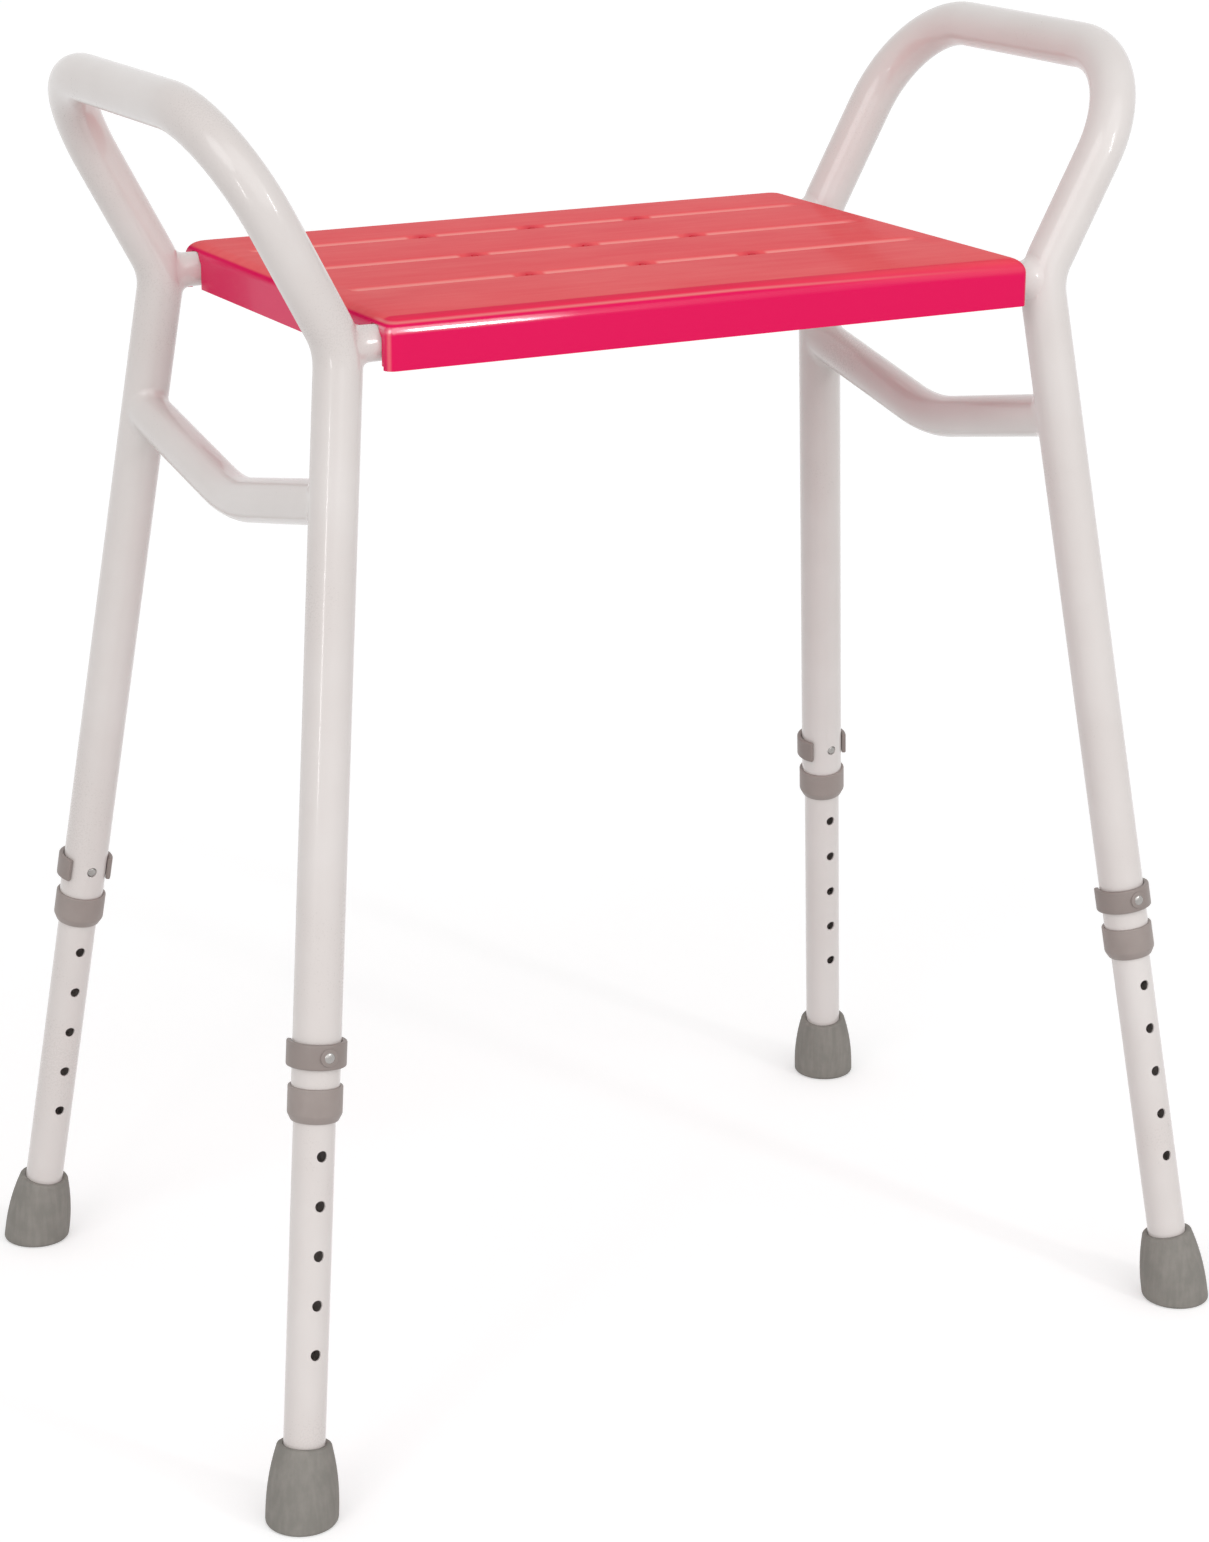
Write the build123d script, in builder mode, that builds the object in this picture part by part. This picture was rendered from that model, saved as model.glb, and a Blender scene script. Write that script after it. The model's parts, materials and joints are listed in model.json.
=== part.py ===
"""Shower stool with arm loops, a clip-locked height setting on each leg and rubber feet.

Millimetres. The origin is on the floor at the middle of the four feet. +X is to the right
seen from the front, +Y runs to the back and +Z is up.
"""

import os
from math import cos, radians, sin, tan

from build123d import *

# Stance: how far the legs lean in, and where their bends stand beside the seat
splay_x = 6.6
splay_y = 7.7
seat_side_gap = 19.3
seat_overhang = 6.9

# Side frames: one bent tube makes two upper legs and the arm loop between them
frame_tube_d = 25.4
frame_tube_wall = 1.2
frame_end = 217.8
bend_height = 602.0
bend_radius = 36.0
handle_lean = 28.5
handle_rise = 116.5
handle_corner_radius = 60.0

# Cross rails under the seat, and the bent brace between the legs of each side
rail_d = 19.0
rail_wall = 1.2
brace_d = 24.0
brace_wall = 1.2
brace_height = 524.8
brace_drop = 26.0
brace_bend_radius = 60.0

# Extending leg tubes with a row of setting holes, measured along the leg from the floor
leg_tube_d = 22.2
leg_tube_wall = 1.2
leg_tube_top = 315.0
lowest_hole = 92.0
hole_pitch = 26.4
hole_count = 7

# Rubber feet with a steel washer under the tube
foot_height = 42.0
foot_top_d = 29.4
foot_bottom_d = 38.6
foot_rim = 6.5
foot_floor = 11.0
foot_lip = 1.5
washer_d = 21.0
washer_hole_d = 8.0
washer_thickness = 1.6

# Plastic collars on the lower ends of the side frames
collar_length = 18.6
collar_d = 28.8
collar_lip = 3.0
collar_chamfer = 2.0

# Locking clips: an open band that snaps round the tube and carries a cross pin
band_height = 13.4
band_thickness = 2.8
band_opening = 55.0
band_round = 1.1
pin_d = 5.4
pin_tip_short = 0.4
pin_head_d = 7.0
pin_head_height = 1.2

# Moulded seat: a ribbed panel with a skirt that covers the rails
seat_length = 388.0
seat_depth = 266.0
seat_thickness = 4.2
seat_wall = 3.5
lip_height = 26.0
skirt_height = 24.0
seat_edge_round = 8.0
seat_corner_round = 5.0
groove_width = 10.0
groove_depth = 1.5
groove_inset = 18.0
groove_first_y = -48.0
groove_pitch = 65.0
groove_count = 3
drain_d = 6.0
drain_pitch = 69.0
drain_count = 3
rib_thickness = 3.0
rib_height = 10.0
rib_reach = 98.0
boss_d = 9.0

# Tabs on the rails and the screws that hold the seat down on them
tab_x = 140.0
tab_width = 24.0
tab_reach = 33.0
tab_thickness = 2.5
tab_round = 5.0
screw_d = 4.0
screw_inset = 12.0
screw_bite = 7.5
screw_head_d = 8.0
screw_head_height = 2.6
screw_head_round = 0.9

# Clearances
leg_clearance = 0.3
pin_clearance = 0.3
band_clearance = 0.25
push_fit = 0.05
rail_seat_gap = 0.05
screw_clearance = 0.25

sides = {"left": -1, "right": 1}
ends = {"front": -1, "rear": 1}

os.makedirs("parts", exist_ok=True)

# Rails lie under the seat's edges, and the legs run down and out from the rails' ends
rail_y = seat_depth / 2 - seat_overhang - rail_d / 2
foot_half_x = seat_length / 2 + seat_side_gap + bend_height * tan(radians(splay_x))
foot_half_y = rail_y + bend_height * tan(radians(splay_y))


def keep(piece, name):
    """Label a finished piece and write it as its own file."""
    piece.label = name
    export_step(piece, f"parts/{name}.step")


def leg_plane(side, end):
    """Plane on the floor with Z up along the leg and Y towards the back, square to the leg."""
    axis = Vector(-side * tan(radians(splay_x)), -end * tan(radians(splay_y)), 1)
    across = Vector(axis.Z, 0, -axis.X)
    return Plane(origin=(side * foot_half_x, end * foot_half_y, 0), x_dir=across, z_dir=axis)


def leg_point(side, end, height):
    """Point on the leg's axis at a height above the floor."""
    return Vector(
        side * (foot_half_x - height * tan(radians(splay_x))),
        end * (foot_half_y - height * tan(radians(splay_y))),
        height,
    )


def cross_plane(side, end, distance):
    """Plane square to the setting holes, at a distance along the leg from the floor."""
    leg = leg_plane(side, end)
    return Plane(leg.from_local_coords((0, 0, distance)), x_dir=leg.x_dir, z_dir=leg.y_dir)


def swept_tube(points, corner_radii, outer_d, wall=0.0):
    """Tube along straight runs with rounded corners, or a solid rod where it has no wall."""
    with BuildPart() as tube:
        with BuildLine() as path:
            FilletPolyline(*points, radius=corner_radii)
        with BuildSketch(Plane(path.line @ 0, z_dir=path.line % 0)):
            Circle(outer_d / 2)
            if wall:
                Circle(outer_d / 2 - wall, mode=Mode.SUBTRACT)
        sweep()
    return tube.part


# Places along the leg that several pieces share
pin_place = lowest_hole + (hole_count - 1) * hole_pitch
pin_hole_d = pin_d + 2 * pin_clearance
collar_bottom = frame_end - collar_lip
tube_foot = foot_floor + washer_thickness

# Places around the seat that several pieces share
rail_height = bend_height
rail_top = rail_height + rail_d / 2
panel_bottom = rail_top + rail_seat_gap
seat_top = panel_bottom + seat_thickness
tab_top = rail_height + tab_thickness
screw_y = rail_y - tab_reach + screw_inset


def side_frame_points(side):
    """Corners of one side frame, from the front leg's lower end round to the rear leg's."""
    front = leg_plane(side, -1).from_local_coords((0, 0, frame_end))
    rear = leg_plane(side, 1).from_local_coords((0, 0, frame_end))
    front_bend = leg_point(side, -1, bend_height)
    rear_bend = leg_point(side, 1, bend_height)
    outwards = Vector(side * handle_rise * tan(radians(handle_lean)), 0, handle_rise)
    return [front, front_bend, front_bend + outwards, rear_bend + outwards, rear_bend, rear]


frame_radii = [bend_radius, handle_corner_radius, handle_corner_radius, bend_radius]

# The same frames as solid rods, to shape the ends of the tubes that are welded to them
frame_rods = {
    name: swept_tube(side_frame_points(side), frame_radii, frame_tube_d) for name, side in sides.items()
}

# Side frames, drilled across for the locking pins
for side_name, side in sides.items():
    with BuildPart() as side_frame:
        add(swept_tube(side_frame_points(side), frame_radii, frame_tube_d, frame_tube_wall))
        for end in ends.values():
            with BuildSketch(cross_plane(side, end, pin_place)):
                Circle(pin_hole_d / 2)
            extrude(amount=frame_tube_d, both=True, mode=Mode.SUBTRACT)
    keep(side_frame.part, f"{side_name}_side_frame")

# Cross rails, with their ends shaped to the side frames
for end_name, end in ends.items():
    with BuildPart() as rail:
        start = leg_point(-1, end, rail_height)
        with BuildSketch(Plane(start, z_dir=(1, 0, 0))):
            Circle(rail_d / 2)
            Circle(rail_d / 2 - rail_wall, mode=Mode.SUBTRACT)
        extrude(amount=-2 * start.X)
        for rod in frame_rods.values():
            add(rod, mode=Mode.SUBTRACT)
    keep(rail.part, f"{end_name}_cross_rail")

# Side braces, bent down in the middle, with their ends shaped to the legs
for side_name, side in sides.items():
    brace_front = leg_point(side, -1, brace_height)
    brace_rear = leg_point(side, 1, brace_height)
    brace_middle = (brace_front + brace_rear) / 2 - Vector(0, 0, brace_drop)
    with BuildPart() as brace:
        add(swept_tube([brace_front, brace_middle, brace_rear], [brace_bend_radius], brace_d, brace_wall))
        add(frame_rods[side_name], mode=Mode.SUBTRACT)
    keep(brace.part, f"{side_name}_side_brace")

# Screw tabs, two on each rail, with their outer edges shaped to the rail
for end_name, end in ends.items():
    with BuildPart() as tabs:
        with BuildSketch(Plane.XY.offset(rail_height)) as tab_outline:
            with Locations(*[(side * tab_x, end * (rail_y - tab_reach / 2)) for side in sides.values()]):
                Rectangle(tab_width, tab_reach)
            free_edge = tab_outline.edges().filter_by(Axis.X).group_by(Axis.Y)[-1 if end < 0 else 0]
            fillet(free_edge.vertices(), tab_round)
            with Locations(*[(side * tab_x, end * screw_y) for side in sides.values()]):
                Circle(screw_d / 2 + screw_clearance, mode=Mode.SUBTRACT)
        extrude(amount=tab_thickness)
        with Locations((0, end * rail_y, rail_height)):
            Cylinder(rail_d / 2, seat_length, rotation=(0, 90, 0), mode=Mode.SUBTRACT)
    keep(tabs.part, f"{end_name}_seat_tabs")

# Seat screws, driven up through the tabs into the seat
screw_places = [(side * tab_x, end * screw_y) for side in sides.values() for end in ends.values()]
with BuildPart() as screws:
    with BuildSketch(Plane.XY.offset(rail_height)):
        with Locations(*screw_places):
            Circle(screw_d / 2)
    extrude(amount=tab_thickness + screw_bite)
    with BuildSketch(Plane.XY.offset(rail_height)):
        with Locations(*screw_places):
            Circle(screw_head_d / 2)
    extrude(amount=-screw_head_height)
    fillet(screws.edges().group_by(Axis.Z)[0], screw_head_round)
keep(screws.part, "seat_screws")

# Seat: a panel with skirts, ribs, drain grooves and the bosses for its screws
groove_radius = (groove_width**2 / 4 + groove_depth**2) / (2 * groove_depth)
groove_rows = [groove_first_y + row * groove_pitch for row in range(groove_count)]
groove_half = seat_length / 2 - groove_inset - groove_width / 2
drain_columns = [(column - (drain_count - 1) / 2) * drain_pitch for column in range(drain_count)]
with BuildPart() as seat:
    with BuildSketch(Plane.XY.offset(seat_top - lip_height)):
        RectangleRounded(seat_length, seat_depth, seat_corner_round)
    extrude(amount=lip_height)
    fillet(seat.faces().sort_by(Axis.Z)[-1].edges(), seat_edge_round)
    with BuildSketch(Plane.XY.offset(seat_top - lip_height)):
        hollow_length = seat_length - 2 * seat_wall
        hollow_depth = seat_depth - 2 * seat_wall
        RectangleRounded(hollow_length, hollow_depth, seat_corner_round - seat_wall)
    extrude(amount=lip_height - seat_thickness, mode=Mode.SUBTRACT)
    fillet(seat.faces().filter_by(Axis.Z).sort_by(Axis.Z)[-2].edges(), seat_edge_round - seat_wall)
    with BuildSketch(Plane.XY.offset(seat_top - lip_height)):
        with Locations((-seat_length / 2, 0), (seat_length / 2, 0)):
            Rectangle(seat_wall * 2, 2 * (rail_y + rail_d / 2 + seat_wall))
    extrude(amount=lip_height - skirt_height, mode=Mode.SUBTRACT)
    with BuildSketch(Plane.YZ.offset(-seat_length / 2)):
        with Locations(*[(end * rail_y, rail_height) for end in ends.values()]):
            Circle(rail_d / 2 + rail_seat_gap)
        with Locations(*[(end * rail_y, rail_height - lip_height / 2) for end in ends.values()]):
            Rectangle(rail_d + 2 * rail_seat_gap, lip_height)
    extrude(amount=seat_length, mode=Mode.SUBTRACT)
    with BuildSketch(Plane.XY.offset(panel_bottom - rib_height)):
        rib_columns = [side * (column + 0.5) * drain_pitch for column in (0, 1) for side in sides.values()]
        with Locations(*[(x, 0) for x in rib_columns]):
            Rectangle(rib_thickness, 2 * rib_reach)
        with Locations(*[(0, row + groove_pitch / 2) for row in groove_rows[:-1]]):
            Rectangle(hollow_length, rib_thickness)
    extrude(amount=rib_height)
    with BuildSketch(Plane.XY.offset(tab_top)):
        with Locations(*screw_places):
            Circle(boss_d / 2)
    extrude(amount=panel_bottom - tab_top)
    with BuildSketch(Plane.XY.offset(tab_top)):
        with Locations(*screw_places):
            Circle(screw_d / 2 + push_fit)
    extrude(amount=screw_bite + push_fit, mode=Mode.SUBTRACT)
    groove_axis = seat_top + groove_radius - groove_depth
    for row in groove_rows:
        with Locations((0, row, groove_axis)):
            Cylinder(groove_radius, 2 * groove_half, rotation=(0, 90, 0), mode=Mode.SUBTRACT)
        with Locations((-groove_half, row, groove_axis), (groove_half, row, groove_axis)):
            Sphere(groove_radius, mode=Mode.SUBTRACT)
    with BuildSketch(Plane.XY.offset(seat_top)):
        with Locations(*[(x, row) for x in drain_columns for row in groove_rows]):
            Circle(drain_d / 2)
    extrude(amount=-seat_thickness, mode=Mode.SUBTRACT)
keep(seat.part, "seat")

# The six pieces of each leg
for side_name, side in sides.items():
    for end_name, end in ends.items():
        leg = leg_plane(side, end)
        leg_name = f"{end_name}_{side_name}"

        with BuildPart() as leg_tube:
            with BuildSketch(leg.offset(tube_foot)):
                Circle(leg_tube_d / 2)
                Circle(leg_tube_d / 2 - leg_tube_wall, mode=Mode.SUBTRACT)
            extrude(amount=leg_tube_top - tube_foot)
            for hole in range(hole_count):
                with BuildSketch(cross_plane(side, end, lowest_hole + hole * hole_pitch)):
                    Circle(pin_hole_d / 2)
                extrude(amount=leg_tube_d, both=True, mode=Mode.SUBTRACT)
        keep(leg_tube.part, f"{leg_name}_leg_tube")

        with BuildPart() as foot:
            with BuildSketch(Plane(leg.origin, x_dir=leg.x_dir, z_dir=-leg.y_dir)):
                rim_top = (foot_bottom_d / 2, foot_rim)
                bell_top = (foot_top_d / 2, foot_height - foot_lip)
                with BuildLine():
                    Polyline(
                        bell_top,
                        (foot_top_d / 2 - foot_lip, foot_height),
                        (leg_tube_d / 2 + push_fit, foot_height),
                        (leg_tube_d / 2 + push_fit, foot_floor),
                        (0, foot_floor),
                        (0, -foot_rim),
                        (foot_bottom_d / 2, -foot_rim),
                        rim_top,
                    )
                    TangentArc(rim_top, bell_top, tangent=(0, 1))
                make_face()
            revolve(axis=Axis(leg.origin, leg.z_dir))
            split(bisect_by=Plane.XY, keep=Keep.TOP)
        keep(foot.part, f"{leg_name}_rubber_foot")

        with BuildPart() as washer:
            with BuildSketch(leg.offset(foot_floor)):
                Circle(washer_d / 2)
                Circle(washer_hole_d / 2, mode=Mode.SUBTRACT)
            extrude(amount=washer_thickness)
        keep(washer.part, f"{leg_name}_foot_washer")

        with BuildPart() as collar:
            with BuildSketch(leg.offset(collar_bottom)):
                Circle(collar_d / 2)
            extrude(amount=collar_length)
            chamfer(
                collar.edges().sort_by(Axis(leg.origin, leg.z_dir))[0],
                collar_lip,
                collar_chamfer,
            )
            with BuildSketch(leg.offset(frame_end)):
                Circle(frame_tube_d / 2 + push_fit)
            extrude(amount=collar_length, mode=Mode.SUBTRACT)
            with BuildSketch(leg.offset(collar_bottom)):
                Circle(leg_tube_d / 2 + leg_clearance)
            extrude(amount=collar_length, mode=Mode.SUBTRACT)
        keep(collar.part, f"{leg_name}_collar")

        band_inner = frame_tube_d / 2 + band_clearance
        band_outer = band_inner + band_thickness
        gap_x = 2 * band_outer * sin(radians(band_opening))
        gap_y = -end * 2 * band_outer * cos(radians(band_opening))
        with BuildPart() as band:
            with BuildSketch(leg.offset(pin_place - band_height / 2)) as band_outline:
                Circle(band_outer)
                Circle(band_inner, mode=Mode.SUBTRACT)
                with BuildLine():
                    Polyline((0, 0), (-gap_x, gap_y), (0, 2 * gap_y), (gap_x, gap_y), close=True)
                make_face(mode=Mode.SUBTRACT)
                fillet(band_outline.vertices(), band_round)
            extrude(amount=band_height)
            with BuildSketch(cross_plane(side, end, pin_place)):
                Circle(pin_d / 2)
            extrude(amount=end * 2 * band_outer, mode=Mode.SUBTRACT)
        keep(band.part, f"{leg_name}_clip_band")

        pin_tip = frame_tube_d / 2 - pin_tip_short
        pin_plane = cross_plane(side, end, pin_place)
        with BuildPart() as pin:
            with BuildSketch(pin_plane.offset(-end * pin_tip)):
                Circle(pin_d / 2)
            extrude(amount=end * (pin_tip + band_outer))
            with BuildSketch(pin_plane.offset(end * band_outer)):
                Circle(pin_head_d / 2)
            extrude(amount=end * pin_head_height)
        keep(pin.part, f"{leg_name}_clip_pin")
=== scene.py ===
import json
from itertools import product
from math import asin, atan, atan2, cos, pi, radians, sin, sqrt, tan

import bmesh
import bpy
from mathutils import Euler, Matrix, Vector
from mathutils.bvhtree import BVHTree


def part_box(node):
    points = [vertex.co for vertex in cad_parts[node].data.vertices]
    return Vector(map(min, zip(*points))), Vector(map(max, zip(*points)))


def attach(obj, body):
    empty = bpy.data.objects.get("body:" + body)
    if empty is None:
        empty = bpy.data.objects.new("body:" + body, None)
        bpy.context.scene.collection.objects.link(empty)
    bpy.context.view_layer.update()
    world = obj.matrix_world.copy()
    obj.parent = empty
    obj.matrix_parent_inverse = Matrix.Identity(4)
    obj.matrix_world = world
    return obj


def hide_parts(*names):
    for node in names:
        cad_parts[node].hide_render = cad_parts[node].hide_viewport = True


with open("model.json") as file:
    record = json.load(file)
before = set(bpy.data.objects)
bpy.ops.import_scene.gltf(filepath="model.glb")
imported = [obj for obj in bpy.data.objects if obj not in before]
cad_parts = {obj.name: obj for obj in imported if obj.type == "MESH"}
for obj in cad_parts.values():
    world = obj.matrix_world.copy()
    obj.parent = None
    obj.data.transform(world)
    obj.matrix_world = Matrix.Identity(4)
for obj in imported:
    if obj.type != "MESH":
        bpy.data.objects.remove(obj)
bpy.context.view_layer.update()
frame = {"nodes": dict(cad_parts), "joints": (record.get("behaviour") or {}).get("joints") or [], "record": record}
scene = bpy.context.scene
mm = 0.001


# Shader maths: a wire is one socket, and each operator on wires adds a Math node
class Wire:
    def __init__(self, paint, socket):
        self.paint = paint
        self.socket = socket

    def __add__(self, other):
        return self.paint.maths("ADD", self, other)

    def __radd__(self, other):
        return self.paint.maths("ADD", other, self)

    def __sub__(self, other):
        return self.paint.maths("SUBTRACT", self, other)

    def __rsub__(self, other):
        return self.paint.maths("SUBTRACT", other, self)

    def __mul__(self, other):
        return self.paint.maths("MULTIPLY", self, other)

    def __rmul__(self, other):
        return self.paint.maths("MULTIPLY", other, self)

    def __truediv__(self, other):
        return self.paint.maths("DIVIDE", self, other)

    def __rtruediv__(self, other):
        return self.paint.maths("DIVIDE", other, self)

    def __pow__(self, other):
        return self.paint.maths("POWER", self, other)

    def __rpow__(self, other):
        return self.paint.maths("POWER", other, self)

    def __abs__(self):
        return self.paint.maths("ABSOLUTE", self, 0.0)

    def least(self, other):
        return self.paint.maths("MINIMUM", self, other)

    def clamped(self):
        return self.paint.maths("ADD", self, 0.0, clamp=True)

    # nothing before start, then a slope that climbs to one
    def rise(self, start, slope):
        return ((self - start) * slope).clamped()

    # a noise about its mean
    def swing(self, size):
        return (self - 0.5) * size


class Paint:
    def __init__(self, owner):
        owner.use_nodes = True
        self.owner = owner
        self.tree = owner.node_tree
        self.tree.nodes.clear()

    # settings are set first, then the values or links of the sockets
    def node(self, kind, settings, sockets, out=0):
        made = self.tree.nodes.new(kind)
        for key, value in settings.items():
            setattr(made, key, value)
        for key, value in sockets.items():
            if isinstance(value, Wire):
                self.tree.links.new(value.socket, made.inputs[key])
            else:
                made.inputs[key].default_value = value
        return Wire(self, made.outputs[out]) if made.outputs else None

    def maths(self, operation, first, second, clamp=False):
        settings = {"operation": operation, "use_clamp": clamp}
        return self.node("ShaderNodeMath", settings, {0: first, 1: second})

    # inputs 6 and 7 and output 2 are the Mix node's colours
    def between(self, share, first, second):
        colours = [c if isinstance(c, Wire) else (*c, 1.0) for c in (first, second)]
        sockets = {0: share, 6: colours[0], 7: colours[1]}
        return self.node("ShaderNodeMix", {"data_type": "RGBA"}, sockets, out=2)

    def place(self):
        return self.node("ShaderNodeTexCoord", {}, {}, out="Object")

    def along(self, at, axis):
        return self.node("ShaderNodeSeparateXYZ", {}, {"Vector": at}, out=axis)

    def stretched(self, at, scale):
        return self.node("ShaderNodeMapping", {}, {"Vector": at, "Scale": scale})

    def noise(self, at, scale, detail, roughness=0.5):
        sockets = {"Vector": at, "Scale": scale, "Detail": detail, "Roughness": roughness}
        return self.node("ShaderNodeTexNoise", {}, sockets)

    def bump(self, height, strength, distance):
        sockets = {"Height": height, "Strength": strength, "Distance": distance}
        return self.node("ShaderNodeBump", {}, sockets)

    # one for rays from the camera, mirrors and glass, nothing for the light that falls on matt surfaces
    def seenRays(self):
        kinds = ("Camera", "Glossy", "Transmission")
        camera, glossy, through = (
            self.node("ShaderNodeLightPath", {}, {}, out=f"Is {kind} Ray") for kind in kinds)
        return (camera + glossy + through).clamped()

    def surface(self, sockets):
        shader = self.node("ShaderNodeBsdfPrincipled", {}, sockets)
        self.node("ShaderNodeOutputMaterial", {}, {"Surface": shader})
        return self.owner


def newPaint(name):
    return Paint(bpy.data.materials.new(name))


# Gloss off-white powder coat on the tubes: a faint orange peel and slow clouds of tone
coatLook = {"colour": (0.735, 0.692, 0.673), "cloud": (0.675, 0.622, 0.60),
            "cloudScale": 14.0, "cloudRise": (0.35, 2.2), "cloudRough": 0.12,
            "fineScale": 990.0, "fineRough": 0.08, "roughness": 0.3,
            "peelScale": 330.0, "peelDepth": 0.05 * mm, "peelBump": 0.35,
            "coat": 0.6, "coatRoughness": 0.08, "specular": 0.45}


def powderCoat():
    paint = newPaint("powder_coat")
    at = paint.place()
    cloud = paint.noise(at, coatLook["cloudScale"], detail=3.0)
    fine = paint.noise(at, coatLook["fineScale"], detail=1.0)
    peel = paint.noise(at, coatLook["peelScale"], detail=2.0)
    colour = paint.between(cloud.rise(*coatLook["cloudRise"]), coatLook["cloud"], coatLook["colour"])
    rough = coatLook["roughness"] + cloud.swing(coatLook["cloudRough"]) + fine.swing(coatLook["fineRough"])
    return paint.surface({
        "Base Color": colour, "Roughness": rough, "Specular IOR Level": coatLook["specular"],
        "Coat Weight": coatLook["coat"], "Coat Roughness": coatLook["coatRoughness"],
        "Normal": paint.bump(peel, coatLook["peelBump"], coatLook["peelDepth"])})


# Seat sizes, shared by its finish and its shape
seat = {"corner": 5 * mm, "cornerSteps": 8, "edge": 8 * mm, "edgeSteps": 10, "wall": 3.5 * mm,
        "rows": (-48 * mm, 17 * mm, 82 * mm), "columns": (-69 * mm, 0.0, 69 * mm), "drainD": 6 * mm,
        "grooveW": 10 * mm, "grooveDepth": 1.5 * mm, "grooveInset": 18 * mm, "grooveBlend": 1.2,
        "skirtUp": 2 * mm, "rimRound": 0.8 * mm, "railGap": 0.1 * mm, "sharp": 45}
seatLow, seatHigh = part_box("seat")
seatSize = seatHigh - seatLow

# Crimson moulded plastic: deep red on the lips, glossy on the rolled edge and softer on the top. The top is
# painted paler than the lips as sheen, and a band along the front rim keeps the deep red as painted shade;
# painted highlight lines run along the grooves, the front rolled edge and the front corners, with painted shade in
# darker rings round the drains
seatLook = {"lip": (0.765, 0.008, 0.100), "rim": (0.80, 0.009, 0.080), "paintedEdgeLine": (0.79, 0.20, 0.20),
            "top": (0.83, 0.060, 0.078), "worn": (0.88, 0.120, 0.124), "paintedHighlight": (0.92, 0.28, 0.26),
            "drain": (0.70, 0.030, 0.055), "drainShadeShare": 0.8, "cornerHighlightShare": 0.45,
            "lipGloss": 0.038, "edgeGloss": 0.93, "topGloss": 0.115, "endGloss": 0.30,
            "edgeAll": 0.10, "edgeLeft": 0.90, "coatRoughness": 0.14, "coatIor": 2.5, "specular": 0.0,
            "cloudScale": 11.0, "cloudWear": 1.3, "cloudRough": 0.1, "roughness": 0.24, "wearFrom": 0.6,
            "streakScale": 22.0, "streakStretch": (1.0, 6.0, 1.0), "streakWear": 0.9,
            "grainScale": 900.0, "grainDepth": 0.03 * mm, "grainBump": 0.25}

# Where that finish changes: each share starts at a place in mm and climbs by so much a mm
seatZones = {"right": (10, 1 / 170), "left": (-85, -0.025), "front": (-110, -0.1), "end": (-1.0, 1.0),
             "rimColour": (3.0, -0.5), "rollTop": (3.7, 1.4), "rollFoot": (7.8, -0.6),
             "paintedEdgeLine": (1 / 1.1, -1.1), "corner": (2 / 0.9, 0.9), "paintedHighlight": (4.6, -0.5),
             "grooveGap": (8, 0.4), "grooveEnd": (0, 0.15), "drain": (2 / 0.28, -0.28)}

# What changes along the front edge: (on the left half, at the right end), lengths in mm
seatFront = {"rimShadeWide": (12.5, 8.5), "rimShadeFade": 2.0, "rimShadeShare": (0.78, 0.38), "paintedEdgeLineDepth": (2.0, 4.0),
             "topDepth": (3.0, 9.0), "topFade": (1.0, 9.0)}


# mm from a place to the nearest of three lines
def gapTo(place, lines):
    first, second, third = (abs(place - line) for line in lines)
    return first.least(second).least(third) / mm


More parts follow.
